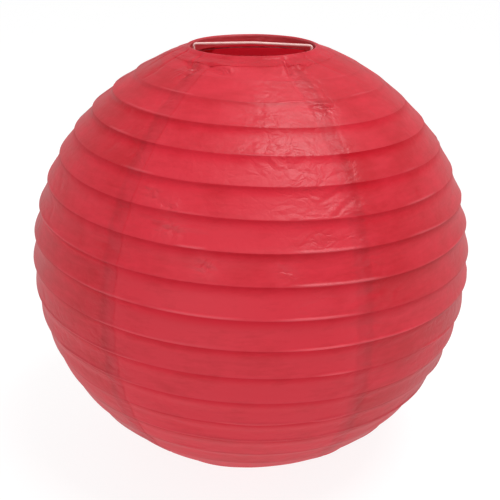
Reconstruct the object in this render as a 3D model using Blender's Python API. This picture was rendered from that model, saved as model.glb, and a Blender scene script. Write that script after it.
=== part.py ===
"""A collapsible round paper lantern, standing on its lower ring.

Units are metres and +Z is up. The origin is on the floor under the centre of the lantern, and the
front of the lantern faces -Y. Longitudes are measured from the front towards +X, latitudes from
the equator of the globe.
"""

import math

import bpy
import numpy as np

# Driving dimensions of the globe
GLOBE_RADIUS = 0.150
PAPER_WALL = 0.0004
FIT_GAP = 0.0003

# Paper gores, the sectors that the globe is pasted together from
GORE_COUNT = 6
FIRST_SEAM_DEG = -34.0
GORE_EDGE_LAT_DEG = 72.8
GORE_COLUMNS = 8
GORE_ROWS = 20
SEAM_GAP = 0.0006

# End rings and the paper hems folded round them
RING_RADIUS = 0.0416
RING_WIRE_RADIUS = 0.0010
RING_SEGMENTS = 36
RING_SIDES = 8
HEM_EDGE_LAT_DEG = 69.4
HEM_TOP_LAT_DEG = 73.0
HEM_FLANGE_POINTS = 3
HEM_FOLD_STEP_DEG = 30.0
HEM_FOLD_FIRST_DEG = 75.0
HEM_FOLD_LAST_DEG = 195.0
HEM_SKIRT_DROP = 0.0055

# Spiral rib, one wire wound from the top ring to the bottom ring
RIB_WIRE_RADIUS = 0.0004
RIB_INSET = 0.0018
RIB_END_LAT_DEG = 71.6
RIB_PITCH_DEG = 7.0
RIB_START_LON_DEG = -10.3
RIB_TILT_DEG = 0.8
RIB_STEPS_PER_TURN = 30
RIB_WIRE_RESOLUTION = 0

# Wire expander, an inverted U whose legs stand inside the two rings
EXPANDER_WIRE_RADIUS = 0.0008
EXPANDER_YAW_DEG = -3.5
EXPANDER_HALF_WIDTH = 0.0384
EXPANDER_LEG_HALF_WIDTH = 0.0362
EXPANDER_BAR_ABOVE_RING = 0.0012
EXPANDER_BAR_BOW = 0.0012
EXPANDER_CORNER_RADIUS = 0.0040
EXPANDER_CATCH_DROP = 0.0105
EXPANDER_CATCH_HEIGHT = 0.0090
EXPANDER_FOOT_ABOVE_FLOOR = 0.0045
EXPANDER_FOOT_RADIUS = 0.0030
EXPANDER_SHOULDER_LEAN = 0.0004
EXPANDER_CATCH_TOP_SHIFT = 0.0012
EXPANDER_CATCH_LOW_SHIFT = 0.0020
EXPANDER_BEND_RADII = (0.0018, 0.0012, 0.0016, 0.0016, 0.0040, 0.0040, 0.0020, 0.0016)
EXPANDER_BEND_STEPS = 4
EXPANDER_WIRE_RESOLUTION = 2

# Colours, as linear red, green and blue
PAPER_RED = (0.55, 0.025, 0.035, 1.0)
RIB_STEEL = (0.30, 0.29, 0.28, 1.0)
RING_STEEL = (0.42, 0.41, 0.40, 1.0)
EXPANDER_STEEL = (0.72, 0.66, 0.66, 1.0)
PAPER_ROUGHNESS = 0.75
RIB_ROUGHNESS = 0.45
RING_ROUGHNESS = 0.40
EXPANDER_ROUGHNESS = 0.30
SHARP_ANGLE_DEG = 40

# Heights that follow from the dimensions above
HEM_INNER_FOLD = RING_WIRE_RADIUS + FIT_GAP
HEM_OUTER_FOLD = HEM_INNER_FOLD + PAPER_WALL
HEM_RADIUS = GLOBE_RADIUS + FIT_GAP + PAPER_WALL
RING_CENTRE_RADIUS = HEM_RADIUS - HEM_OUTER_FOLD
RING_RISE = math.sqrt(RING_CENTRE_RADIUS**2 - RING_RADIUS**2)
GLOBE_CENTRE_Z = RING_RISE + HEM_OUTER_FOLD * math.sin(math.radians(HEM_FOLD_FIRST_DEG))


def clear_scene():
    for obj in list(bpy.data.objects):
        bpy.data.objects.remove(obj, do_unlink=True)


def make_material(name, colour, roughness, metallic):
    material = bpy.data.materials.new(name)
    material.use_nodes = True
    shader = material.node_tree.nodes["Principled BSDF"]
    shader.inputs["Base Color"].default_value = colour
    shader.inputs["Roughness"].default_value = roughness
    shader.inputs["Metallic"].default_value = metallic
    material.diffuse_color = colour
    return material


def add_mesh(name, points, faces, material):
    """A mesh object whose own origin is the origin of the lantern."""
    mesh = bpy.data.meshes.new(name)
    mesh.from_pydata([tuple(point) for point in points], [], faces)
    mesh.validate()
    mesh.shade_smooth()
    mesh.set_sharp_from_angle(angle=math.radians(SHARP_ANGLE_DEG))
    mesh.materials.append(material)
    obj = bpy.data.objects.new(name, mesh)
    bpy.context.scene.collection.objects.link(obj)
    return obj


def add_wire(name, points, radius, bevel_resolution, material):
    """A wire of round section with closed ends through the given points."""
    curve = bpy.data.curves.new(name, "CURVE")
    curve.dimensions = "3D"
    curve.bevel_depth = radius
    curve.bevel_resolution = bevel_resolution
    curve.use_fill_caps = True
    spline = curve.splines.new("POLY")
    spline.points.add(len(points) - 1)
    for spot, point in zip(spline.points, points):
        spot.co = (*point, 1.0)
    curve.materials.append(material)
    obj = bpy.data.objects.new(name, curve)
    bpy.context.scene.collection.objects.link(obj)
    return obj


def globe_point(radius, latitude_deg, longitude_deg):
    latitude = math.radians(latitude_deg)
    longitude = math.radians(longitude_deg)
    across = radius * math.cos(latitude)
    height = GLOBE_CENTRE_Z + radius * math.sin(latitude)
    return (across * math.sin(longitude), -across * math.cos(longitude), height)


def turned(name, profile, segments, material):
    """The closed outline of (radius, height) points, turned round the vertical axis."""
    count = len(profile)
    points = []
    for step in range(segments):
        angle = 2 * math.pi * step / segments
        for radius, height in profile:
            points.append((radius * math.cos(angle), radius * math.sin(angle), height))
    faces = []
    for step in range(segments):
        here = step * count
        there = (step + 1) % segments * count
        for index in range(count):
            after = (index + 1) % count
            faces.append((here + index, there + index, there + after, here + after))
    return add_mesh(name, points, faces, material)


def make_gore(number, material):
    """One paper sector: a thin shell from the hem of one ring to the hem of the other."""
    half_gap = math.degrees(SEAM_GAP / 2 / GLOBE_RADIUS)
    pitch = 360.0 / GORE_COUNT
    west = FIRST_SEAM_DEG + (number - 1) * pitch + half_gap
    longitudes = np.linspace(west, west + pitch - 2 * half_gap, GORE_COLUMNS + 1)
    latitudes = np.linspace(-GORE_EDGE_LAT_DEG, GORE_EDGE_LAT_DEG, GORE_ROWS + 1)
    points = []
    for radius in (GLOBE_RADIUS, GLOBE_RADIUS - PAPER_WALL):
        for latitude in latitudes:
            for longitude in longitudes:
                points.append(globe_point(radius, latitude, longitude))
    wide = GORE_COLUMNS + 1
    layer = wide * (GORE_ROWS + 1)
    faces = []
    for row in range(GORE_ROWS):
        for column in range(GORE_COLUMNS):
            corner = row * wide + column
            quad = (corner, corner + 1, corner + 1 + wide, corner + wide)
            faces.append(quad)
            faces.append(tuple(layer + index for index in reversed(quad)))
    south = list(range(wide))
    east = [row * wide + GORE_COLUMNS for row in range(1, GORE_ROWS + 1)]
    north = [GORE_ROWS * wide + column for column in range(GORE_COLUMNS - 1, -1, -1)]
    west_side = [row * wide for row in range(GORE_ROWS - 1, 0, -1)]
    border = south + east + north + west_side
    for start, end in zip(border, border[1:] + border[:1]):
        faces.append((end, start, start + layer, end + layer))
    return add_mesh(f"gore_{number}", points, faces, material)


def make_ring(name, side, material):
    """An end ring of round wire. side is 1 for the top ring and -1 for the bottom ring."""
    centre_z = GLOBE_CENTRE_Z + side * RING_RISE
    profile = []
    for step in range(RING_SIDES):
        angle = 2 * math.pi * (step + 0.5) / RING_SIDES
        radius = RING_RADIUS + RING_WIRE_RADIUS * math.cos(angle)
        profile.append((radius, centre_z + RING_WIRE_RADIUS * math.sin(angle)))
    return turned(name, profile, RING_SEGMENTS, material)


def hem_outline(fold_radius, flange_radius):
    """One face of the hem as (radius, rise over the globe's centre): flange, fold, inner skirt."""
    outline = []
    for latitude_deg in np.linspace(HEM_EDGE_LAT_DEG, HEM_TOP_LAT_DEG, HEM_FLANGE_POINTS):
        latitude = math.radians(latitude_deg)
        outline.append((flange_radius * math.cos(latitude), flange_radius * math.sin(latitude)))
    steps = round((HEM_FOLD_LAST_DEG - HEM_FOLD_FIRST_DEG) / HEM_FOLD_STEP_DEG)
    for step in range(steps + 1):
        angle = math.radians(HEM_FOLD_FIRST_DEG + step * HEM_FOLD_STEP_DEG)
        radius = RING_RADIUS + fold_radius * math.cos(angle)
        outline.append((radius, RING_RISE + fold_radius * math.sin(angle)))
    outline.append((radius, RING_RISE - HEM_SKIRT_DROP))
    return outline


def make_hem(name, side, material):
    """A paper strip pasted over the gores' edge and folded over an end ring to its inner side."""
    outer = hem_outline(HEM_OUTER_FOLD, HEM_RADIUS)
    inner = hem_outline(HEM_INNER_FOLD, HEM_RADIUS - PAPER_WALL)
    loop = outer + inner[::-1]
    profile = [(radius, GLOBE_CENTRE_Z + side * rise) for radius, rise in loop]
    if side < 0:
        profile.reverse()
    return turned(name, profile, RING_SEGMENTS, material)


def make_rib(material):
    """The spiral rib: each turn lies one pitch below the last, and the coil leans a little."""
    radius = GLOBE_RADIUS - RIB_INSET
    turns = 2 * RIB_END_LAT_DEG / RIB_PITCH_DEG
    count = round(turns * RIB_STEPS_PER_TURN)
    points = []
    for along in np.linspace(0.0, 1.0, count + 1):
        latitude = RIB_END_LAT_DEG * (1 - 2 * along)
        longitude = RIB_START_LON_DEG + 360.0 * turns * along
        lean = RIB_TILT_DEG * (1 - (latitude / 90) ** 4)
        latitude -= lean * math.sin(math.radians(longitude))
        points.append(globe_point(radius, latitude, longitude))
    return add_wire("rib_spiral", points, RIB_WIRE_RADIUS, RIB_WIRE_RESOLUTION, material)


def rounded_route(corners, radii, steps):
    """A route through corner points in one plane, each corner rounded to its own radius."""
    route = [corners[0]]
    for before, corner, after, radius in zip(corners, corners[1:], corners[2:], radii):
        into = (before - corner) / np.linalg.norm(before - corner)
        out = (after - corner) / np.linalg.norm(after - corner)
        half_angle = math.acos(float(np.dot(into, out))) / 2
        setback = radius / math.tan(half_angle)
        middle = (into + out) / np.linalg.norm(into + out)
        centre = corner + middle * radius / math.sin(half_angle)
        start = corner + into * setback - centre
        end = corner + out * setback - centre
        sweep = math.acos(float(np.dot(start, end)) / radius**2)
        for step in range(steps + 1):
            part = step / steps
            blend = start * math.sin((1 - part) * sweep) + end * math.sin(part * sweep)
            route.append(centre + blend / math.sin(sweep))
    route.append(corners[-1])
    return route


def expander_half():
    """Corners of the right half, from the middle of the crossbar to the end of the foot."""
    bar_z = GLOBE_CENTRE_Z + RING_RISE + EXPANDER_BAR_ABOVE_RING
    foot_z = EXPANDER_FOOT_ABOVE_FLOOR + EXPANDER_WIRE_RADIUS
    wide = EXPANDER_HALF_WIDTH
    leg = EXPANDER_LEG_HALF_WIDTH
    top_catch = bar_z - EXPANDER_CATCH_DROP
    low_catch = foot_z + EXPANDER_CATCH_DROP
    half_catch = EXPANDER_CATCH_HEIGHT / 2
    corners = [
        (0.0, bar_z + EXPANDER_BAR_BOW),
        (wide, bar_z),
        (wide - EXPANDER_SHOULDER_LEAN, bar_z - EXPANDER_CORNER_RADIUS),
        (leg, top_catch + half_catch - EXPANDER_CATCH_TOP_SHIFT),
        (wide, top_catch - half_catch + EXPANDER_CATCH_LOW_SHIFT),
        (leg, top_catch - 2 * half_catch),
        (leg, low_catch + 2 * half_catch),
        (wide, low_catch),
        (leg, foot_z),
        (leg - 2 * EXPANDER_FOOT_RADIUS, foot_z + EXPANDER_FOOT_RADIUS),
    ]
    return [np.array(corner) for corner in corners]


def make_expander(material):
    """The wire that holds the rings apart: a crossbar with a leg and two catch bends each side."""
    right = rounded_route(expander_half(), EXPANDER_BEND_RADII, EXPANDER_BEND_STEPS)
    left = [np.array((-point[0], point[1])) for point in reversed(right[1:])]
    yaw = math.radians(EXPANDER_YAW_DEG)
    route = []
    for across, height in left + right:
        route.append((across * math.cos(yaw), across * math.sin(yaw), height))
    return add_wire("expander", route, EXPANDER_WIRE_RADIUS, EXPANDER_WIRE_RESOLUTION, material)


def main():
    clear_scene()
    paper = make_material("red_paper", PAPER_RED, PAPER_ROUGHNESS, 0.0)
    rib_steel = make_material("rib_steel", RIB_STEEL, RIB_ROUGHNESS, 1.0)
    ring_steel = make_material("ring_steel", RING_STEEL, RING_ROUGHNESS, 1.0)
    expander_steel = make_material("expander_steel", EXPANDER_STEEL, EXPANDER_ROUGHNESS, 1.0)
    for number in range(1, GORE_COUNT + 1):
        make_gore(number, paper)
    for name, side in (("top", 1), ("bottom", -1)):
        make_ring(f"{name}_ring", side, ring_steel)
        make_hem(f"{name}_hem", side, paper)
    make_rib(rib_steel)
    make_expander(expander_steel)


main()
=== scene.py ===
"""Looks of the round paper lantern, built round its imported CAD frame.

Metres, +Z up, the front of the lantern faces -Y. Longitudes run from the front towards +X and
latitudes from the globe's equator, both in degrees.
"""

import math

import bpy
import numpy as np
from mathutils import Matrix, Vector


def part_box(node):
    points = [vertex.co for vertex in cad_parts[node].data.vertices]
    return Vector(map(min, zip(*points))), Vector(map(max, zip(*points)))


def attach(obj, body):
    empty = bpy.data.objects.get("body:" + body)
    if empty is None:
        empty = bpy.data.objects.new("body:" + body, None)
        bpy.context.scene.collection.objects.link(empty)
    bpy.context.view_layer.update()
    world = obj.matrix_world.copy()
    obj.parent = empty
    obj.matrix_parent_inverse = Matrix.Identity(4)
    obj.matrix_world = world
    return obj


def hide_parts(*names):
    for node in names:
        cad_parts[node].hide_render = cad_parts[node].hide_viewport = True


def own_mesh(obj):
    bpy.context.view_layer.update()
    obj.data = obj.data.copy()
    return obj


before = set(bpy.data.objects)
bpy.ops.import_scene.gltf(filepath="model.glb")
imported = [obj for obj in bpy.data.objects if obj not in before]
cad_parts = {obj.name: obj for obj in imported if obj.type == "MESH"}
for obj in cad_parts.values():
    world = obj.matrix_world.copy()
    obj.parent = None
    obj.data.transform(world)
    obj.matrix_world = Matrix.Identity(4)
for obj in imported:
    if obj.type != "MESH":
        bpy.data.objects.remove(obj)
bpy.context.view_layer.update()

# The globe, as the CAD has it
GLOBE_RADIUS = 0.150
GORE_COUNT = 6
FIRST_SEAM = -34.0
GORE_EDGE_LAT = 72.8
RING_RADIUS = 0.0416
RIB_PITCH = 7.0
RIB_START_LON = -10.3
RIB_END_LAT = 71.6
RIB_TILT = 0.8
GLOBE_CENTRE_Z = sum(corner.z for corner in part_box("gore_1")) / 2
TOP_RING_Z = sum(corner.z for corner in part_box("top_ring")) / 2
BOTTOM_RING_Z = sum(corner.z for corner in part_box("bottom_ring")) / 2

# Paper
SEAM_OVERLAP = 0.0105
SHEET_STEP = 0.00016
RIB_BELOW_PAPER = 0.00042
RIB_STEPS_PER_TURN = 100
RIB_WIRE_RADIUS = 0.0004
RIB_REACH = (-2.4, -1.2, 0, 1.2, 2.4)
BAND_SAG = 0.00155
RIDGE_HEIGHT = 0.00062
RIDGE_EXTRA_BELOW = 0.00040

# Colours are linear. The gores and the hems were cut from slightly different sheets.
GORE_DEEP = (0.60, 0.012, 0.026)
GORE_LIT = (0.74, 0.027, 0.052)
HEM_DEEP = (0.61, 0.013, 0.028)
HEM_LIT = (0.76, 0.030, 0.056)
DOUBLED_TINT = (0.78, 0.62, 0.60, 1.0)
# Multiplied in under each rib: partly the wire showing through, partly painted shade on the tucked paper
WIRE_AND_SHADE_TINT = (0.74, 0.45, 0.50, 1.0)
# A painted highlight, pale pink, laid along the pasted ridges of the rib
RIDGE_HIGHLIGHT_COLOUR = (0.88, 0.17, 0.21, 1.0)
# A paler, whiter red on the hem's skirt inside the rings: painted sheen
INSIDE_SHEEN_COLOUR = (0.62, 0.085, 0.095, 1.0)
PAPER_IOR = 1.45
LIGHT_THROUGH_PAPER = 0.33
FACET_HEIGHT = 0.0023
FIBRE_HEIGHT = 0.0005

# Camera, in metres, degrees and millimetres of lens
CAMERA_DISTANCE = 0.600
CAMERA_ELEVATION = 23.3
CAMERA_ROLL = -0.4
CAMERA_LENS = 60.6
CAMERA_SENSOR = 36.0
CAMERA_ASIDE = 0.0008

# Light: two softboxes as (place, size, watts), and a room that is darker in front of the lantern
KEY_SOFTBOX = ((0.36, -0.26, 1.38), (0.62, 0.62), 12.6)
FRONT_SOFTBOX = ((-0.7, -1.65, 0.75), (1.4, 1.0), 6.8)
ROOM_GREYS = ((0.0, 0.30), (0.25, 0.40), (0.55, 0.78))
ROOM_STRENGTH = 0.74
HORIZON_GREY = 0.97
HORIZON_FADE = ((0.10, 1.0), (0.26, 0.0))
FLOOR_HALF_SIZE = 60.0
FLOOR_GREY = 0.20
FLOOR_GLOW = 0.86
FLOOR_ROUGHNESS = 0.9


# ---------------------------------------------------------------- noise and small helpers


def smoothstep(low, high, value):
    t = np.clip((value - low) / (high - low), 0.0, 1.0)
    return t * t * (3 - 2 * t)


class Lattice:
    """Smooth seeded noise on a plane, between -1 and 1, that repeats every SIZE cells."""

    SIZE = 256

    def __init__(self, seed):
        self.values = np.random.default_rng(seed).uniform(-1, 1, (self.SIZE, self.SIZE))

    def __call__(self, x, y):
        x0 = np.floor(x).astype(int)
        y0 = np.floor(y).astype(int)
        fx = x - x0
        fy = y - y0
        fx = fx * fx * fx * (fx * (fx * 6 - 15) + 10)
        fy = fy * fy * fy * (fy * (fy * 6 - 15) + 10)
        x0 %= self.SIZE
        y0 %= self.SIZE
        x1 = (x0 + 1) % self.SIZE
        y1 = (y0 + 1) % self.SIZE
        v = self.values
        low = v[x0, y0] * (1 - fx) + v[x1, y0] * fx
        high = v[x0, y1] * (1 - fx) + v[x1, y1] * fx
        return low * (1 - fy) + high * fy


def ring_noise(lattice, longitude, latitude, cells_round, cells_per_degree):
    """Noise over the globe that joins up with itself all the way round."""
    cells = max(1, int(cells_round))
    x = np.mod(longitude, 360.0) / 360.0 * cells
    here = np.floor(x)
    part = x - here
    part = part * part * (3 - 2 * part)
    y = (latitude + 90.0) * cells_per_degree
    a = lattice(np.mod(here, cells), y)
    b = lattice(np.mod(here + 1, cells), y)
    return a * (1 - part) + b * part


class Field:
    """Noise over the globe: its cells round the globe and in a degree of latitude, and its turn."""

    def __init__(self, lattice, cells_round, cells_per_degree, turn=0):
        self.lattice = lattice
        self.cells_round = cells_round
        self.cells_per_degree = cells_per_degree
        self.turn = turn

    def __call__(self, longitude, latitude):
        around = longitude + self.turn
        return ring_noise(self.lattice, around, latitude, self.cells_round, self.cells_per_degree)


# ---------------------------------------------------------------- the shape of the paper

WOBBLE = Lattice(11)
DRIFT = Lattice(12)
SAG = Lattice(13)
STREAK = Lattice(14)
CREASE = Lattice(15)
PUCKER = Lattice(16)
PATCH = Lattice(17)
SHAPE = Lattice(18)
RIDGE = Lattice(19)
TONE = Lattice(20)
HEM = Lattice(21)

RIB_WOBBLE = Field(WOBBLE, 11, 0.145)
ROUND_SLOW = Field(DRIFT, 5, 0.02)
ROUND_FINE = Field(DRIFT, 11, 0.05, turn=40)
SAG_LOCAL = Field(SAG, 24, 0.1)
SAG_SLACK = Field(SAG, 6, 0.02, turn=276)
VALLEY_LOCAL = Field(SHAPE, 20, 0.1)
VALLEY_RAGGED = Field(SHAPE, 90, 0.1, turn=120)
CRUMPLE_PATCH = Field(PATCH, 14, 0.06)
WIRE_UNEVEN = Field(RIDGE, 18, 0.143, turn=60)
RIDGE_PLACES = Field(RIDGE, 22, 0.143)
RIDGE_WAVE = Field(RIDGE, 48, 0.1, turn=30)
WRINKLE_PATCH = Field(PATCH, 16, 0.09)
WRINKLE_STREAK = Field(STREAK, 26, 0.30)
WRINKLE_FINE = Field(STREAK, 60, 0.8, turn=90)
WRINKLE_FOLD = Field(CREASE, 26, 0.33)
WRINKLE_CROSS = Field(CREASE, 34, 0.30)
PUCKER_WAVE = Field(PUCKER, 15, 0.05)
PUCKER_SHARP = Field(PUCKER, 19, 0.03)
HEM_EDGE_SLOW = Field(HEM, 14, 0.1)
HEM_EDGE_FINE = Field(HEM, 44, 0.1, turn=50)
HEM_LOOSE = Field(HEM, 21, 0.1)
HEM_TIGHT = Field(HEM, 57, 0.1, turn=20)
HEM_CUT = Field(HEM, 17, 0.1, turn=70)

# Share of a gore over which values run into the next gore's
PANEL_BLEND = 0.022
# Shades of the six gores, from the front gore round towards +X. In the colour they are partly the paper's
# own tone and partly painted sheen: the front gore is lightest.
GORE_SHEETS_AND_SHEEN = (0.8, -0.1, 0.3, -0.5, 0.5, -0.1)


def gore_of(longitude):
    """The number of the gore, from 0, that a longitude lies in."""
    return np.floor((longitude - FIRST_SEAM) / (360.0 / GORE_COUNT)).astype(int) % GORE_COUNT


def seam_distance(longitude):
    """Degrees from the nearest seam's middle, negative to its left."""
    pitch = 360.0 / GORE_COUNT
    return np.mod(longitude - FIRST_SEAM + pitch / 2, pitch) - pitch / 2


def rib_latitude(turn, longitude):
    """Latitude of the rib's given turn. The wire isn't wound perfectly evenly."""
    ideal = RIB_END_LAT - RIB_PITCH * (turn + (longitude - RIB_START_LON) / 360.0)
    lean = RIB_TILT * (1 - (ideal / 90) ** 4)
    ideal = ideal - lean * np.sin(np.radians(longitude))
    return ideal + 0.27 * RIB_WOBBLE(longitude, ideal)


def globe_radius(longitude, latitude):
    """Radius at the rib crests: a handmade globe is a little out of round."""
    slow = ROUND_SLOW(longitude, latitude)
    finer = ROUND_FINE(longitude, latitude)
    return GLOBE_RADIUS - 0.0004 + 0.0006 * slow + 0.0003 * finer


def panel_values(longitude, turn, lattice):
    """A random value for each panel, the paper between two ribs and two seams, between -1 and 1.

    The panels are numbered along the spiral. Values run into each other over the seams.
    """
    pitch = 360.0 / GORE_COUNT
    wound = (turn * 360.0 + longitude - FIRST_SEAM) / pitch
    number = np.floor(wound).astype(int)
    part = wound - number
    after = smoothstep(1 - PANEL_BLEND, 1 + PANEL_BLEND, part)
    before = smoothstep(PANEL_BLEND, -PANEL_BLEND, part)
    table = lattice.values[17]
    mix = table[number % 256] * (1 - after - before)
    return mix + table[(number + 1) % 256] * after + table[(number - 1) % 256] * before


def band_sag(longitude, latitude, turn):
    """How far the paper between two ribs hangs inside the ribs, different in every panel."""
    own = panel_values(longitude, turn, SAG)
    local = SAG_LOCAL(longitude, latitude)
    slack = SAG_SLACK(longitude, latitude)
    taut = 0.10 + 0.90 * smoothstep(69, 50, np.abs(latitude))
    taut *= (1 - 0.28 * smoothstep(15, 35, latitude)) * (1 - 0.30 * softness(longitude))
    return BAND_SAG * (1 + 0.28 * own + 0.22 * local + 0.9 * slack) * taut


def softness(longitude):
    """How softly the paper bends over the rib: crisp on two sides of the globe, 0, rounder between, 1."""
    return 0.5 - 0.5 * np.cos(np.radians(2 * longitude))


def band_profile(u, longitude, latitude, turn):
    """0 on a rib and 1 at the deepest point between two ribs, pointed at the ribs.

    On the upper half the paper tucks in just under each rib and comes out slowly to the next.
    """
    own = panel_values(longitude, turn, SHAPE)
    local = VALLEY_LOCAL(longitude, latitude)
    ragged = VALLEY_RAGGED(longitude, latitude)
    low = smoothstep(14, -14, latitude)
    valley = 0.25 + 0.05 * smoothstep(32, 12, latitude) + 0.16 * smoothstep(12, -25, latitude)
    valley += 0.06 * own
    valley += 0.05 * local * (1 + low) + 0.035 * ragged * low
    above = 1 - np.clip(u / valley, 0, 1)
    below = 1 - np.clip((1 - u) / (1 - valley), 0, 1)
    hollow = np.where(u < valley, 1 - above ** (2.3 - 1.05 * low), 1 - below ** (1.7 - 0.45 * low))
    bend = 0.05 + 0.20 * softness(longitude)
    return (np.hypot(hollow, bend) - bend) / (np.hypot(1, bend) - bend)


# Stretches where the paper is pasted up proud of the rib: middle longitude, latitude, half length
RIDGES = (
    (14.5, 9.3, 8.5),
    (17.0, 1.0, 8.0),
    (20.0, 15.9, 10.0),
    (18.0, 22.6, 7.0),
    (19.0, -6.5, 4.0),
    (19.5, -20.0, 4.0),
    (-12.0, 8.8, 9.0),
    (-14.0, 22.4, 3.0),
    (62.0, 16.0, 6.0),
    (118.0, 8.8, 7.0),
    (176.0, 22.5, 5.0),
    (-120.0, 1.4, 6.0),
)

# Crumpled places: longitude, latitude, half width in degrees of arc, strength
CRUMPLES = (
    (28.0, 54.5, 3.6, 1.3),
    (20.0, 31.5, 4.5, 0.55),
    (24.0, 29.0, 3.0, 0.5),
    (-27.0, 33.0, 3.5, 0.9),
    (-21.0, 31.5, 3.5, 0.8),
    (-20.0, 26.5, 4.0, 1.0),
    (-10.5, 19.5, 3.0, 1.1),
    (8.0, 18.7, 4.0, 0.7),
    (-37.0, 65.5, 4.5, 1.0),
    (-16.0, 68.0, 4.0, 0.8),
    (23.0, 67.5, 4.0, 0.8),
    (7.0, 59.0, 5.0, 0.40),
    (6.0, 52.0, 6.0, 0.50),
    (9.0, 44.0, 8.0, 0.75),
    (15.0, 37.0, 7.0, 0.75),
    (11.0, 30.0, 7.0, 0.50),
    (16.0, 24.0, 6.0, 0.50),
    (14.0, 11.5, 6.0, 0.40),
    (84.0, 34.0, 5.0, 0.9),
    (88.0, 5.0, 4.0, 0.7),
    (146.0, 40.0, 6.0, 0.9),
    (150.0, -12.0, 5.0, 0.7),
    (205.0, 25.0, 6.0, 0.9),
    (238.0, 52.0, 6.0, 0.8),
    (268.0, 12.0, 5.0, 0.8),
    (262.0, -22.0, 5.0, 0.7),
)


def crumpled(longitude, latitude):
    """How crumpled the paper is at a place, from about 0 to 1."""
    amount = 0.10 + 0.20 * smoothstep(0.1, 0.8, CRUMPLE_PATCH(longitude, latitude))
    amount += 0.25 * np.exp(-((np.abs(seam_distance(longitude)) / 5.0) ** 2))
    for at_lon, at_lat, size, strength in CRUMPLES:
        gap = np.mod(longitude - at_lon + 180, 360) - 180
        across = gap * math.cos(math.radians(at_lat)) / size
        up = (latitude - at_lat) / (size * 0.8)
        amount = np.maximum(amount, strength * np.exp(-(across**2 + up**2)))
    return amount


def gore_sheet_and_sheen(longitude):
    """A shade for each gore. In the colour it is partly the paper's own tone and partly painted sheen: the
    front gore is made lightest, where its gloss is strongest.
    """
    table = np.array(GORE_SHEETS_AND_SHEEN)
    here = gore_of(longitude)
    part = np.mod((longitude - FIRST_SEAM) * GORE_COUNT / 360.0, 1.0)
    after = smoothstep(1 - PANEL_BLEND, 1 + PANEL_BLEND, part)
    before = smoothstep(PANEL_BLEND, -PANEL_BLEND, part)
    mix = table[here] * (1 - after - before)
    return mix + table[(here + 1) % GORE_COUNT] * after + table[here - 1] * before


def wire_shadow(longitude, latitude, u):
    """How strongly the dark line under each rib is painted, from 0 to 1: partly the wire showing through
    the paper, partly painted shade on the paper tucked in below it.
    """
    strength = (0.42 + 0.18 * smoothstep(-5, 25, latitude)) * (1 - 0.4 * softness(longitude))
    strength *= smoothstep(66, 58, np.abs(latitude))
    strength *= 0.75 + 0.25 * WIRE_UNEVEN(longitude, latitude)
    below = np.exp(-((u / (0.11 + 0.13 * smoothstep(14, -10, latitude))) ** 2))
    above = np.exp(-(((1 - u) / 0.012) ** 2))
    return strength * np.maximum(below, above)


def ridge_shape(u, longitude, latitude):
    """The little roll of pasted paper that stands out along parts of the rib, from 0 to 1."""
    where = 0.7 * smoothstep(0.30, 0.9, RIDGE_PLACES(longitude, latitude))
    for at_lon, at_lat, half_length in RIDGES:
        gap = np.mod(longitude - at_lon + 180, 360) - 180
        along = np.exp(-((gap / half_length) ** 4))
        where = np.maximum(where, along * smoothstep(2.6, 1.6, np.abs(latitude - at_lat)))
    where = where * smoothstep(66, 55, np.abs(latitude))
    wave = 0.35 * RIDGE_WAVE(longitude, latitude)
    gap = np.minimum(1 - u, 0.2) / 0.042
    return where * np.exp(-((gap - 1.0 - wave) ** 2) * 1.7)


def rib_ridge(u, longitude, latitude):
    """Height of that roll, in metres."""
    height = RIDGE_HEIGHT + RIDGE_EXTRA_BELOW * smoothstep(12, -5, latitude)
    return height * ridge_shape(u, longitude, latitude)


def wrinkles(longitude, latitude, u):
    """Inward wrinkles of the paper between the ribs, in metres."""
    inside = np.sin(math.pi * np.clip(u, 0, 1)) ** 0.7
    near_seam = np.exp(-((np.abs(seam_distance(longitude)) / 6.0) ** 2))
    patch = smoothstep(0.0, 0.7, WRINKLE_PATCH(longitude, latitude))
    streak = WRINKLE_STREAK(longitude, latitude)
    fine = WRINKLE_FINE(longitude, latitude)
    fold = 1 - np.abs(WRINKLE_FOLD(longitude, latitude + 0.16 * slant(longitude)))
    fold = np.clip(fold - 0.72, 0, 1) / 0.28
    cross = 1 - np.abs(WRINKLE_CROSS(longitude, latitude - 0.30 * slant(longitude)))
    cross = np.clip(cross - 0.78, 0, 1) / 0.22
    amount = 0.45 + 0.9 * near_seam + 0.8 * patch
    depth = 0.00010 * streak + 0.00004 * fine
    depth += 0.00026 * fold**2 * (0.2 + patch) + 0.00030 * cross**2 * near_seam
    return depth * inside * amount * smoothstep(70.2, 67.0, np.abs(latitude))


def slant(longitude):
    """A repeating rise and fall round the globe, so that slanting creases join up."""
    return 12.0 * np.sin(np.radians(longitude * 5))


def rim_puckers(longitude, latitude):
    """The gathers in the paper near the two rings, in metres inwards."""
    top = smoothstep(58, 70.5, np.abs(latitude))
    wave = PUCKER_WAVE(longitude, latitude)
    sharp = 1 - np.abs(PUCKER_SHARP(longitude + 0.8 * latitude, latitude))
    sharp = np.clip(sharp - 0.72, 0, 1) / 0.28
    return top * (0.0005 * wave + 0.0006 * sharp**2)


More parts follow.
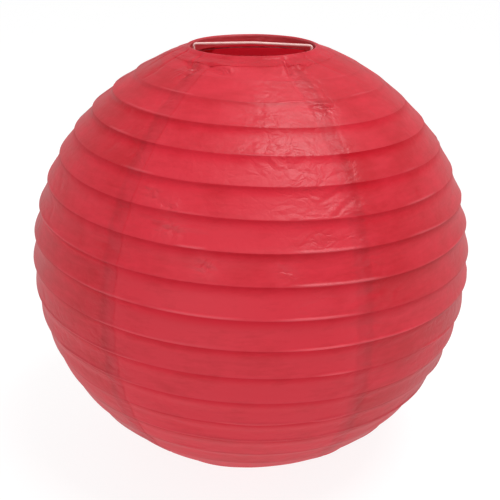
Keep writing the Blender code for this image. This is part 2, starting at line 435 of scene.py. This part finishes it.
# Single creases that stand out: longitude and latitude of the middle, half length and half
# width along the globe in degrees of arc, slope of the line, and depth.
CREASES = (
    (22.7, 68.9, 2.8, 0.55, 80.0, 0.0019),
    (-42.0, 68.2, 3.4, 0.75, -16.0, 0.0018),
    (-22.0, 67.8, 3.8, 0.80, -22.0, 0.0019),
    (-37.0, 65.5, 2.6, 0.60, 62.0, 0.0012),
    (35.0, 69.0, 3.0, 0.60, 20.0, 0.0013),
    (28.0, 55.0, 3.4, 0.36, -8.0, 0.0011),
    (20.5, 33.6, 3.0, 0.42, 24.0, 0.0007),
    (24.0, 31.2, 2.6, 0.42, 30.0, 0.0006),
    (18.0, 31.0, 2.2, 0.42, 14.0, 0.0004),
    (26.5, 28.6, 2.6, 0.45, -6.0, 0.0006),
    (-26.5, 33.8, 2.6, 0.30, -3.0, 0.0007),
    (-24.5, 32.4, 3.0, 0.30, -8.0, 0.0008),
    (-22.0, 31.2, 2.2, 0.30, -14.0, 0.0006),
    (-20.5, 26.6, 5.0, 0.36, -13.0, 0.0010),
    (-14.0, 26.2, 3.0, 0.32, -4.0, 0.0006),
    (-10.5, 19.6, 2.6, 0.42, -24.0, 0.0008),
    (7.5, 18.9, 2.4, 0.42, -30.0, 0.0004),
    (148.0, 68.5, 4.0, 0.7, 40.0, 0.0012),
    (212.0, 66.5, 4.0, 0.7, -35.0, 0.0012),
    (84.0, 35.0, 4.0, 0.45, -18.0, 0.0006),
    (146.0, 40.0, 4.0, 0.45, 22.0, 0.0006),
    (205.0, 25.0, 4.0, 0.45, -14.0, 0.0006),
    (268.0, 12.0, 4.0, 0.45, 15.0, 0.0006),
)


def single_creases(longitude, latitude):
    depth = np.zeros_like(longitude)
    for at_lon, at_lat, half_length, half_width, slope, deep in CREASES:
        gap = np.mod(longitude - at_lon + 180, 360) - 180
        across = gap * math.cos(math.radians(at_lat))
        up = latitude - at_lat
        angle = math.radians(slope)
        along = across * math.cos(angle) + up * math.sin(angle)
        off = -across * math.sin(angle) + up * math.cos(angle)
        fade = np.exp(-((along / half_length) ** 4))
        valley = np.exp(-((off / half_width) ** 2))
        ridge = np.exp(-(((off - 2.1 * half_width) / (1.5 * half_width)) ** 2))
        depth += deep * fade * (valley - 0.45 * ridge)
    return depth


def paper_radius(longitude, latitude, u, turn):
    """Distance of the paper from the globe's centre, with u its place between two ribs."""
    radius = globe_radius(longitude, latitude)
    sag = band_sag(longitude, latitude, turn)
    radius -= sag * band_profile(u, longitude, latitude, turn)
    radius += rib_ridge(u, longitude, latitude)
    radius -= wrinkles(longitude, latitude, u)
    radius -= rim_puckers(longitude, latitude)
    radius -= single_creases(longitude, latitude)
    return radius


def on_globe(radius, longitude, latitude):
    lon = np.radians(longitude)
    lat = np.radians(latitude)
    across = radius * np.cos(lat)
    x = across * np.sin(lon)
    y = -across * np.cos(lon)
    z = GLOBE_CENTRE_Z + radius * np.sin(lat)
    return np.stack([x, y, z], axis=-1)


# ---------------------------------------------------------------- meshes


def mesh_piece(name, points, faces, material, smooth_angle=180):
    """A mesh object from points and faces with four corners each, smooth up to an angle."""
    points = np.asarray(points, np.float32).reshape(-1, 3)
    faces = np.asarray(faces, np.int32)
    mesh = bpy.data.meshes.new(name)
    mesh.vertices.add(len(points))
    mesh.vertices.foreach_set("co", points.ravel())
    mesh.loops.add(faces.size)
    mesh.loops.foreach_set("vertex_index", faces.ravel())
    mesh.polygons.add(len(faces))
    mesh.polygons.foreach_set("loop_start", np.arange(0, faces.size, 4, dtype=np.int32))
    mesh.update(calc_edges=True)
    mesh.validate()
    mesh.shade_smooth()
    if smooth_angle < 180:
        mesh.set_sharp_from_angle(angle=math.radians(smooth_angle))
    mesh.materials.append(material)
    obj = bpy.data.objects.new(name, mesh)
    bpy.context.scene.collection.objects.link(obj)
    return obj


def grid_faces(rows, columns, joined=False, flipped=False):
    """The four corners of every face of a grid, joined up round its columns if asked."""
    across = np.arange(columns if joined else columns - 1)
    row, column = np.meshgrid(np.arange(rows - 1), across, indexing="ij")
    after = (column + 1) % columns
    corners = [row * columns + column, row * columns + after]
    corners += [(row + 1) * columns + after, (row + 1) * columns + column]
    if flipped:
        corners.reverse()
    return np.stack(corners, axis=-1).reshape(-1, 4)


def put_attribute(obj, name, values):
    layer = obj.data.attributes.new(name, "FLOAT", "POINT")
    layer.data.foreach_set("value", np.asarray(values, np.float32).ravel())


ROWS_IN_BAND = (0.0, 0.025, 0.055, 0.095, 0.145, 0.205, 0.27, 0.34, 0.42, 0.50, 0.58, 0.66, 0.74, 0.81)
ROWS_IN_BAND += (0.86, 0.895, 0.92, 0.94, 0.957, 0.972, 0.985)
OVERLAP_COLUMNS = (-1.0, -0.8, -0.55, -0.3, 0.0, 0.3, 0.55, 0.8, 1.0)
GORE_COLUMNS = 110
HALF_OVERLAP = math.degrees(SEAM_OVERLAP / 2 / GLOBE_RADIUS)


def band_edges(longitude):
    """The rib's turns that cross a whole gore between its two ends: (turn, latitudes)."""
    kept = []
    for turn in range(-2, int(2 * RIB_END_LAT / RIB_PITCH) + 2):
        line = rib_latitude(turn, longitude)
        if line.max() < RIB_END_LAT - 0.9 and line.min() > -RIB_END_LAT + 0.9:
            kept.append((turn, line))
    return kept


def gore_longitudes(number, latitude):
    """Longitudes of a gore's columns along a line of latitudes; both seams overlap."""
    pitch = 360.0 / GORE_COUNT
    west = FIRST_SEAM + number * pitch
    half = HALF_OVERLAP / np.cos(np.radians(latitude))
    overlap = np.array(OVERLAP_COLUMNS)
    edge = len(overlap)
    inner = np.linspace(0, 1, GORE_COLUMNS + 2)[1:-1]
    left = west + overlap * half[:edge]
    right = west + pitch + overlap * half[-edge:]
    middle = west + half[edge:-edge] + inner * (pitch - 2 * half[edge:-edge])
    return np.concatenate([left, middle, right])


def gore_grid(number):
    """Longitude, latitude, place in the band and turn number at every point of one gore."""
    pitch = 360.0 / GORE_COUNT
    west = FIRST_SEAM + number * pitch
    edge = len(OVERLAP_COLUMNS)
    spread = np.linspace(0, 1, GORE_COLUMNS + 2)[1:-1]
    nominal = np.concatenate([np.zeros(edge), spread, np.ones(edge)]) * pitch + west
    edges = band_edges(nominal)
    ends = np.full_like(nominal, GORE_EDGE_LAT)
    lines = [(edges[0][0] - 1, ends)] + edges + [(edges[-1][0] + 1, -ends)]
    rows = []
    for (turn, upper), (_, lower) in zip(lines, lines[1:]):
        for u in ROWS_IN_BAND:
            rows.append((upper + (lower - upper) * u, u, turn))
    rows.append((lines[-1][1], 0.0, lines[-1][0]))
    guess = np.array([row[0] for row in rows])
    place = np.array([np.full_like(nominal, row[1]) for row in rows])
    turns = np.array([np.full(nominal.shape, row[2]) for row in rows])
    longitude = np.array([gore_longitudes(number, line) for line in guess])
    # Along the rib the rows follow the wire at the columns' true longitudes
    latitude = guess.copy()
    per_band = len(ROWS_IN_BAND)
    last = len(lines) - 1
    for index in range(last):
        top = index * per_band
        upper = true_line(lines[index], longitude[top])
        lower = true_line(lines[index + 1], longitude[min(top + per_band, len(rows) - 1)])
        for step, u in enumerate(ROWS_IN_BAND):
            latitude[top + step] = upper + (lower - upper) * u
    return longitude, latitude, place, turns


def true_line(line, longitude):
    """Latitudes of one line of a gore: a turn of the rib, or the gore's straight end."""
    turn, latitude = line
    if np.ptp(latitude) == 0:
        return latitude
    return rib_latitude(turn, longitude)


def make_gore(number, material):
    """One paper sector. Its west edge lies under the neighbour and its east edge over the next."""
    longitude, latitude, place, turns = gore_grid(number)
    radius = paper_radius(longitude, latitude, place, turns)
    pitch = 360.0 / GORE_COUNT
    west = FIRST_SEAM + number * pitch
    half = HALF_OVERLAP / np.cos(np.radians(latitude))
    radius -= SHEET_STEP * smoothstep(1.6, 1.0, (longitude - west) / half)
    points = on_globe(radius, longitude, latitude)
    rows, columns = longitude.shape
    obj = mesh_piece(f"paper_gore_{number + 1}", points, grid_faces(rows, columns, flipped=True), material)
    away = np.abs(seam_distance(longitude)) * np.cos(np.radians(latitude)) / HALF_OVERLAP
    put_attribute(obj, "doubled", smoothstep(1.06, 0.94, away))
    # Random tone in each panel plus each gore's shade, which carries painted sheen on the front gore
    tone_and_sheen = 0.6 * panel_values(longitude, turns, TONE) + gore_sheet_and_sheen(longitude)
    put_attribute(obj, "tone_and_sheen", tone_and_sheen)
    put_attribute(obj, "crumple", crumpled(longitude, latitude))
    # Where the dark line under each rib goes: the wire showing through, and painted shade
    put_attribute(obj, "wire", wire_shadow(longitude, latitude, place))
    # Where the painted highlight along the ridges goes
    put_attribute(obj, "ridge_highlight", ridge_shape(place, longitude, latitude))
    put_attribute(obj, "tucked", smoothstep(0.42, 0.04, place) * smoothstep(60, 45, latitude))
    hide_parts(f"gore_{number + 1}")
    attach(obj, "shade")
    fold_flat(obj)
    return obj


def fold_flat(obj):
    """Gives the piece its own copy of its mesh."""
    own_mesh(obj)


def tube(name, path, radii, sides, material):
    """A round tube along a path, open at its ends."""
    count = len(path)
    tangents = np.gradient(path, axis=0)
    tangents /= np.linalg.norm(tangents, axis=1)[:, None]
    up = np.zeros_like(path)
    reference = np.array([0.0, 0.0, 1.0])
    for index in range(count):
        reference = reference - (reference @ tangents[index]) * tangents[index]
        reference /= np.linalg.norm(reference)
        up[index] = reference
    side = np.cross(tangents, up)
    radii = np.broadcast_to(radii, count)
    rings = []
    for step in range(sides):
        angle = 2 * math.pi * step / sides
        offset = up * math.cos(angle) + side * math.sin(angle)
        rings.append(path + offset * radii[:, None])
    points = np.stack(rings, axis=1)
    faces = grid_faces(count, sides, joined=True)
    return mesh_piece(name, points, faces, material, 60)


def make_rib(material):
    """The spiral rib, lying against the inside of the crests of the paper."""
    turns = 2 * RIB_END_LAT / RIB_PITCH
    count = int(turns * RIB_STEPS_PER_TURN)
    longitude = RIB_START_LON + 360.0 * np.linspace(0, turns, count + 1)
    latitude = np.clip(rib_latitude(0, longitude), -RIB_END_LAT, RIB_END_LAT)
    radius = globe_radius(longitude, latitude) - RIB_WIRE_RADIUS - RIB_BELOW_PAPER
    radius -= rim_puckers(longitude, latitude)
    # Where the paper is creased the wire lies under the deepest point near by
    radius -= np.max([single_creases(longitude + aside, latitude) for aside in RIB_REACH], axis=0)
    radii = np.full(count + 1, RIB_WIRE_RADIUS)
    radii[[0, -1]] = RIB_WIRE_RADIUS * 0.05
    obj = tube("rib_wire", on_globe(radius, longitude, latitude), radii, 6, material)
    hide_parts("rib_spiral")
    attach(obj, "shade")
    fold_flat(obj)
    return obj


# ---------------------------------------------------------------- materials


def new_material(name):
    material = bpy.data.materials.new(name)
    material.use_nodes = True
    tree = material.node_tree
    tree.nodes.clear()
    return material, tree


def node(tree, kind, **settings):
    made = tree.nodes.new(kind)
    for key, value in settings.items():
        setattr(made, key, value)
    return made


def link(tree, out, into):
    tree.links.new(out, into)


def ramp(tree, factor, stops):
    made = node(tree, "ShaderNodeValToRGB")
    elements = made.color_ramp.elements
    while len(elements) < len(stops):
        elements.new(0.5)
    for element, (place, colour) in zip(elements, stops):
        element.position = place
        element.color = (*colour, 1.0)
    link(tree, factor, made.inputs["Fac"])
    return made.outputs["Color"]


def maths(tree, operation, a, b):
    made = node(tree, "ShaderNodeMath", operation=operation)
    for socket, value in zip(made.inputs, (a, b)):
        if isinstance(value, (int, float)):
            socket.default_value = value
        else:
            link(tree, value, socket)
    return made.outputs[0]


def noise(tree, vector, scale, detail=3.0, roughness=0.55, distortion=0.0):
    made = node(tree, "ShaderNodeTexNoise")
    made.inputs["Scale"].default_value = scale
    made.inputs["Detail"].default_value = detail
    made.inputs["Roughness"].default_value = roughness
    made.inputs["Distortion"].default_value = distortion
    link(tree, vector, made.inputs["Vector"])
    return made.outputs["Fac"]


def scaled(tree, value, share):
    return maths(tree, "MULTIPLY", value, share)


def attribute(tree, name):
    """A value that the mesh carries at each of its points."""
    return node(tree, "ShaderNodeAttribute", attribute_name=name).outputs["Fac"]


def mixed_with(tree, colour, other, factor, blend="MIX"):
    """A colour that goes over to another one, or is multiplied by it, as the factor rises."""
    made = node(tree, "ShaderNodeMix", data_type="RGBA", blend_type=blend)
    link(tree, factor, made.inputs["Factor"])
    link(tree, colour, made.inputs["A"])
    made.inputs["B"].default_value = other
    return made.outputs["Result"]


def bumped(tree, height, strength, distance, normal=None):
    made = node(tree, "ShaderNodeBump")
    made.inputs["Strength"].default_value = strength
    made.inputs["Distance"].default_value = distance
    link(tree, height, made.inputs["Height"])
    if normal is not None:
        link(tree, normal, made.inputs["Normal"])
    return made.outputs["Normal"]


def greys(stops):
    """Stops of a ramp from places and greys."""
    return tuple((place, (grey,) * 3) for place, grey in stops)


def mapped(tree, vector, scale):
    made = node(tree, "ShaderNodeMapping")
    made.inputs["Scale"].default_value = scale
    link(tree, vector, made.inputs["Vector"])
    return made.outputs["Vector"]


def facets(tree, vector, scale):
    """Flat facets that meet in sharp creases, as crumpled paper has."""
    made = node(tree, "ShaderNodeTexVoronoi", feature="DISTANCE_TO_EDGE")
    made.inputs["Scale"].default_value = scale
    made.inputs["Randomness"].default_value = 1.0
    link(tree, vector, made.inputs["Vector"])
    return made.outputs["Distance"]


def shifted(tree, vector, scale, amount):
    """The same place moved about by noise, so that the facets are uneven."""
    waves = node(tree, "ShaderNodeTexNoise")
    waves.inputs["Scale"].default_value = scale
    waves.inputs["Detail"].default_value = 2.0
    link(tree, vector, waves.inputs["Vector"])
    moved = node(tree, "ShaderNodeVectorMath", operation="MULTIPLY_ADD")
    link(tree, waves.outputs["Color"], moved.inputs[0])
    moved.inputs[1].default_value = (amount, amount, amount)
    link(tree, vector, moved.inputs[2])
    return moved.outputs[0]


def crumpled_facets(tree, where):
    """Heights of crumpled paper: large facets with small ones on them."""
    moved = shifted(tree, mapped(tree, where, (1.0, 1.0, 1.5)), 60.0, 0.012)
    large = scaled(tree, facets(tree, moved, 90.0), 0.8)
    small = scaled(tree, facets(tree, moved, 210.0), 0.30)
    return maths(tree, "ADD", large, small)


def gore_colour(tree, colour, blotches):
    """Darker where two sheets lie on each other. Darker under the wire, partly the wire showing through
    and partly painted shade. A painted highlight along the ridges.
    """
    layers = scaled(tree, maths(tree, "MULTIPLY", attribute(tree, "doubled"), blotches), 0.5)
    colour = mixed_with(tree, colour, DOUBLED_TINT, layers, "MULTIPLY")
    # Painted shade under each rib, together with the wire showing through
    colour = mixed_with(tree, colour, WIRE_AND_SHADE_TINT, attribute(tree, "wire"), "MULTIPLY")
    # Painted highlight along the ridges
    return mixed_with(tree, colour, RIDGE_HIGHLIGHT_COLOUR, scaled(tree, attribute(tree, "ridge_highlight"), 0.42))


def paper_material(name, deep, lit, is_gore):
    """Thin waxed tissue paper: blotchy dye, faint fibres, a soft gloss, light passing through."""
    material, tree = new_material(name)
    where = node(tree, "ShaderNodeTexCoord").outputs["Object"]
    fibres = noise(tree, mapped(tree, where, (1.0, 1.0, 6.0)), 70.0, 4.0, 0.6)
    blotches = noise(tree, mapped(tree, where, (1.0, 1.0, 1.5)), 38.0, 4.0, 0.6)
    crinkle = noise(tree, where, 330.0, 3.0, 0.55, 0.6)
    dye = maths(tree, "ADD", scaled(tree, fibres, 0.35), scaled(tree, blotches, 0.65))
    shine = scaled(tree, blotches, 0.7)
    folds = crumpled_facets(tree, where)
    shader = node(tree, "ShaderNodeBsdfPrincipled")
    shader.inputs["IOR"].default_value = PAPER_IOR
    shader.inputs["Specular IOR Level"].default_value = 0.50
    if is_gore:
        tone_and_sheen = attribute(tree, "tone_and_sheen")
        # The tone lightens the colour: the paper's random tone, with painted sheen on the front gore
        dye = maths(tree, "ADD", dye, scaled(tree, tone_and_sheen, 0.14))
        shine = maths(tree, "ADD", shine, scaled(tree, tone_and_sheen, 0.16))
        crumple = attribute(tree, "crumple")
        folds = maths(tree, "MULTIPLY", folds, crumple)
        glint = maths(tree, "ADD", 0.55, scaled(tree, crumple, 0.35))
        glint = maths(tree, "SUBTRACT", glint, scaled(tree, attribute(tree, "tucked"), 0.47))
        link(tree, glint, shader.inputs["Specular IOR Level"])
    else:
        folds = scaled(tree, folds, 0.4)
    colour = ramp(tree, dye, ((0.34, deep), (0.66, lit)))
    if is_gore:
        colour = gore_colour(tree, colour, blotches)
    else:
        # Painted sheen on the hem's skirt inside the rings
        colour = mixed_with(tree, colour, INSIDE_SHEEN_COLOUR, scaled(tree, attribute(tree, "inside"), 0.7))
    facet_normal = bumped(tree, folds, 1.0, FACET_HEIGHT)
    fine = maths(tree, "ADD", scaled(tree, fibres, 0.35), scaled(tree, crinkle, 0.5))
    normal = bumped(tree, fine, 0.35, FIBRE_HEIGHT, facet_normal)
    gloss = ramp(tree, shine, greys(((0.15, 0.36), (0.6, 0.52))))
    link(tree, colour, shader.inputs["Base Color"])
    link(tree, gloss, shader.inputs["Roughness"])
    link(tree, normal, shader.inputs["Normal"])
    through = node(tree, "ShaderNodeBsdfTranslucent")
    link(tree, colour, through.inputs["Color"])
    mix = node(tree, "ShaderNodeMixShader")
    mix.inputs["Fac"].default_value = LIGHT_THROUGH_PAPER
    link(tree, shader.outputs["BSDF"], mix.inputs[1])
    link(tree, through.outputs["BSDF"], mix.inputs[2])
    out = node(tree, "ShaderNodeOutputMaterial")
    link(tree, mix.outputs["Shader"], out.inputs["Surface"])
    return material


def wire_material(name, dark, pale, roughness, metallic):
    """Drawn wire: dull patches and specks."""
    material, tree = new_material(name)
    where = node(tree, "ShaderNodeTexCoord").outputs["Object"]
    patches = noise(tree, where, 180.0, 4.0, 0.6)
    specks = noise(tree, where, 1400.0, 2.0, 0.5)
    shader = node(tree, "ShaderNodeBsdfPrincipled")
    link(tree, ramp(tree, patches, ((0.35, dark), (0.65, pale))), shader.inputs["Base Color"])
    rough = ramp(tree, specks, greys(((0.3, roughness - 0.08), (0.7, roughness + 0.10))))
    link(tree, rough, shader.inputs["Roughness"])
    shader.inputs["Metallic"].default_value = metallic
    link(tree, bumped(tree, specks, 0.25, 0.0001), shader.inputs["Normal"])
    out = node(tree, "ShaderNodeOutputMaterial")
    link(tree, shader.outputs["BSDF"], out.inputs["Surface"])
    return material


def floor_material():
    """A plain white sweep, lit a little from within so that it stays white to its far edge."""
    material, tree = new_material("studio_floor")
    shader = node(tree, "ShaderNodeBsdfPrincipled")
    shader.inputs["Base Color"].default_value = (FLOOR_GREY, FLOOR_GREY, FLOOR_GREY, 1.0)
    shader.inputs["Roughness"].default_value = FLOOR_ROUGHNESS
    shader.inputs["Emission Color"].default_value = (1.0, 1.0, 1.0, 1.0)
    shader.inputs["Emission Strength"].default_value = FLOOR_GLOW
    out = node(tree, "ShaderNodeOutputMaterial")
    link(tree, shader.outputs["BSDF"], out.inputs["Surface"])
    return material


# ---------------------------------------------------------------- hems

HEM_COLUMNS = 1200
HEM_EDGE_LAT = 69.5
HEM_TOP_LAT = 72.6
HEM_ABOVE_GORES = 0.00012
FOLD_OUT = 0.0016
FOLD_IN = 0.0013
FOLD_JOIN = 62.0
SKIRT_DROP = 0.0054


def hem_point(longitude, ring_z, side, out, rise):
    """Points round a ring: out from its middle line and rise above it (below, for the lower)."""
    lon = np.radians(longitude)
    across = RING_RADIUS + out
    z = ring_z + side * rise
    return np.stack([across * np.sin(lon), -across * np.cos(lon), z + 0 * lon], axis=-1)


def hem_flange(side, ring_z, fold_rise):
    """Rows of points of the pasted part: from its cut edge up to the top of the ring."""
    longitude = np.linspace(0, 360, HEM_COLUMNS, endpoint=False)
    level = np.full_like(longitude, 40.0 * side)
    edge = HEM_EDGE_LAT + 0.22 * HEM_EDGE_SLOW(longitude, level)
    edge += 0.10 * HEM_EDGE_FINE(longitude, level)
    rows = []
    for share in np.linspace(0, 1, 9):
        latitude = edge + (HEM_TOP_LAT - edge) * share
        radius = globe_radius(longitude, side * latitude) + HEM_ABOVE_GORES
        radius -= rim_puckers(longitude, side * latitude)
        radius -= single_creases(longitude, side * latitude)
        rows.append(on_globe(radius, longitude, side * latitude))
    angle = math.radians(FOLD_JOIN)
    top = hem_point(longitude, ring_z, side, FOLD_OUT * math.cos(angle), fold_rise * math.sin(angle))
    for share in (0.3, 0.6, 0.85, 1.0):
        bulge = 0.00012 * math.sin(math.pi * share)
        row = rows[8] + (top - rows[8]) * share
        row[:, 2] += side * bulge
        rows.append(row)
    return np.array(rows)


def hem_fold(side, ring_z, fold_rise):
    """Rows of points of the folded part: over the ring and down inside it as a short skirt."""
    longitude = np.linspace(0, 360, HEM_COLUMNS, endpoint=False)
    level = np.full_like(longitude, 55.0 * side)
    loose = HEM_LOOSE(longitude, level)
    tight = HEM_TIGHT(longitude, level)
    rows = []
    for degrees in np.linspace(FOLD_JOIN - 10, 180, 13):
        angle = math.radians(degrees)
        width = FOLD_OUT if degrees < 90 else FOLD_IN
        scale = 0.97 if degrees < FOLD_JOIN else 1.0
        slack = 0.00016 * np.clip(loose, 0, 1) * math.sin(angle)
        out = scale * width * math.cos(angle) - 0.0001 * tight * (1 if degrees > 90 else 0)
        rows.append(hem_point(longitude, ring_z, side, out, scale * fold_rise * math.sin(angle) + slack))
    cut = SKIRT_DROP + 0.0004 * HEM_CUT(longitude, level)
    for share in np.linspace(0.15, 1, 7):
        wave = (0.00035 * loose + 0.00018 * tight) * share
        rows.append(hem_point(longitude, ring_z, side, -FOLD_IN + 0.0001 + wave * 0.6, -cut * share))
    return np.array(rows)


def make_hem(end_name, side, body, material):
    """The paper strip at one end, in two parts: the part pasted on the gores and the fold over the ring.
    """
    ring_z = TOP_RING_Z if side > 0 else BOTTOM_RING_Z
    fold_rise = 0.00135 if side > 0 else ring_z - 0.00005
    rows = hem_flange(side, ring_z, fold_rise)
    faces = grid_faces(len(rows), HEM_COLUMNS, joined=True, flipped=side < 0)
    flange = mesh_piece(f"{end_name}_hem_pasted", rows, faces, material)
    rows = hem_fold(side, ring_z, fold_rise)
    faces = grid_faces(len(rows), HEM_COLUMNS, joined=True, flipped=side < 0)
    fold = mesh_piece(f"{end_name}_hem_fold", rows, faces, material)
    # Marks the rows of the skirt inside the ring, where the painted sheen goes
    inside = np.zeros(rows.shape[:2])
    inside[8:] = 1.0
    put_attribute(fold, "inside", inside)
    for obj in (flange, fold):
        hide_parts(f"{end_name}_hem")
        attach(obj, body)
    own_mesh(flange)


# ---------------------------------------------------------------- stage


def make_floor():
    mesh = bpy.data.meshes.new("studio_floor")
    half = FLOOR_HALF_SIZE
    corners = [(-half, -half, 0), (half, -half, 0), (half, half, 0), (-half, half, 0)]
    mesh.from_pydata(corners, [], [(0, 1, 2, 3)])
    mesh.materials.append(floor_material())
    floor = bpy.data.objects.new("studio_floor", mesh)
    bpy.context.scene.collection.objects.link(floor)


def make_room():
    """A grey room, darker in front of the lantern, that turns white down at the horizon."""
    world = bpy.data.worlds.new("studio")
    world.use_nodes = True
    tree = world.node_tree
    background = tree.nodes["Background"]
    direction = node(tree, "ShaderNodeTexCoord").outputs["Generated"]
    split = node(tree, "ShaderNodeSeparateXYZ")
    link(tree, direction, split.inputs[0])
    to_back = maths(tree, "ADD", scaled(tree, split.outputs["Y"], 0.5), 0.5)
    link(tree, ramp(tree, to_back, greys(ROOM_GREYS)), background.inputs["Color"])
    background.inputs["Strength"].default_value = ROOM_STRENGTH
    horizon = node(tree, "ShaderNodeBackground")
    horizon.inputs["Color"].default_value = (HORIZON_GREY, HORIZON_GREY, HORIZON_GREY, 1.0)
    horizon.inputs["Strength"].default_value = 1.0
    blend = node(tree, "ShaderNodeMixShader")
    link(tree, ramp(tree, split.outputs["Z"], greys(HORIZON_FADE)), blend.inputs["Fac"])
    link(tree, background.outputs["Background"], blend.inputs[1])
    link(tree, horizon.outputs["Background"], blend.inputs[2])
    link(tree, blend.outputs["Shader"], tree.nodes["World Output"].inputs["Surface"])
    bpy.context.scene.world = world
    bpy.context.scene.view_settings.view_transform = "Standard"


def add_softbox(name, place, size, watts):
    data = bpy.data.lights.new(name, "AREA")
    data.shape = "RECTANGLE"
    data.size, data.size_y = size
    data.energy = watts
    obj = bpy.data.objects.new(name, data)
    obj.location = place
    target = Vector((0.0, 0.0, GLOBE_CENTRE_Z))
    obj.rotation_euler = (target - Vector(place)).to_track_quat("-Z", "Y").to_euler()
    bpy.context.scene.collection.objects.link(obj)


def make_camera():
    elevation = math.radians(CAMERA_ELEVATION)
    centre = Vector((0.0, 0.0, GLOBE_CENTRE_Z))
    back = Vector((0.0, -math.cos(elevation), math.sin(elevation)))
    data = bpy.data.cameras.new("camera")
    data.lens = CAMERA_LENS
    data.sensor_width = CAMERA_SENSOR
    camera = bpy.data.objects.new("camera", data)
    bpy.context.scene.collection.objects.link(camera)
    look = (-back).to_track_quat("-Z", "Y").to_matrix()
    roll = Matrix.Rotation(math.radians(-CAMERA_ROLL), 3, "Z")
    place = centre + back * CAMERA_DISTANCE - Vector((CAMERA_ASIDE, 0.0, 0.0))
    camera.matrix_world = Matrix.Translation(place) @ (look @ roll).to_4x4()
    bpy.context.scene.camera = camera


# ---------------------------------------------------------------- assembly


def main():
    make_camera()
    make_floor()
    make_room()
    add_softbox("key_softbox", *KEY_SOFTBOX)
    add_softbox("fill_front", *FRONT_SOFTBOX)
    paper = paper_material("red_tissue", GORE_DEEP, GORE_LIT, True)
    hem_paper = paper_material("red_tissue_hem", HEM_DEEP, HEM_LIT, False)
    rib_steel = wire_material("rib_steel", (0.38, 0.35, 0.33), (0.58, 0.54, 0.51), 0.45, 0.7)
    ring_steel = wire_material("ring_steel", (0.30, 0.29, 0.28), (0.5, 0.49, 0.47), 0.40, 1.0)
    pale_wire = wire_material("expander_steel", (0.80, 0.50, 0.47), (0.92, 0.66, 0.62), 0.38, 0.15)
    for number in range(GORE_COUNT):
        make_gore(number, paper)
    make_rib(rib_steel)
    make_hem("top", 1, "top_frame", hem_paper)
    make_hem("bottom", -1, "shade", hem_paper)
    for name in ("top_ring", "bottom_ring"):
        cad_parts[name].data.materials.clear()
        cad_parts[name].data.materials.append(ring_steel)
    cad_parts["expander"].data.materials.clear()
    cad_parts["expander"].data.materials.append(pale_wire)


main()
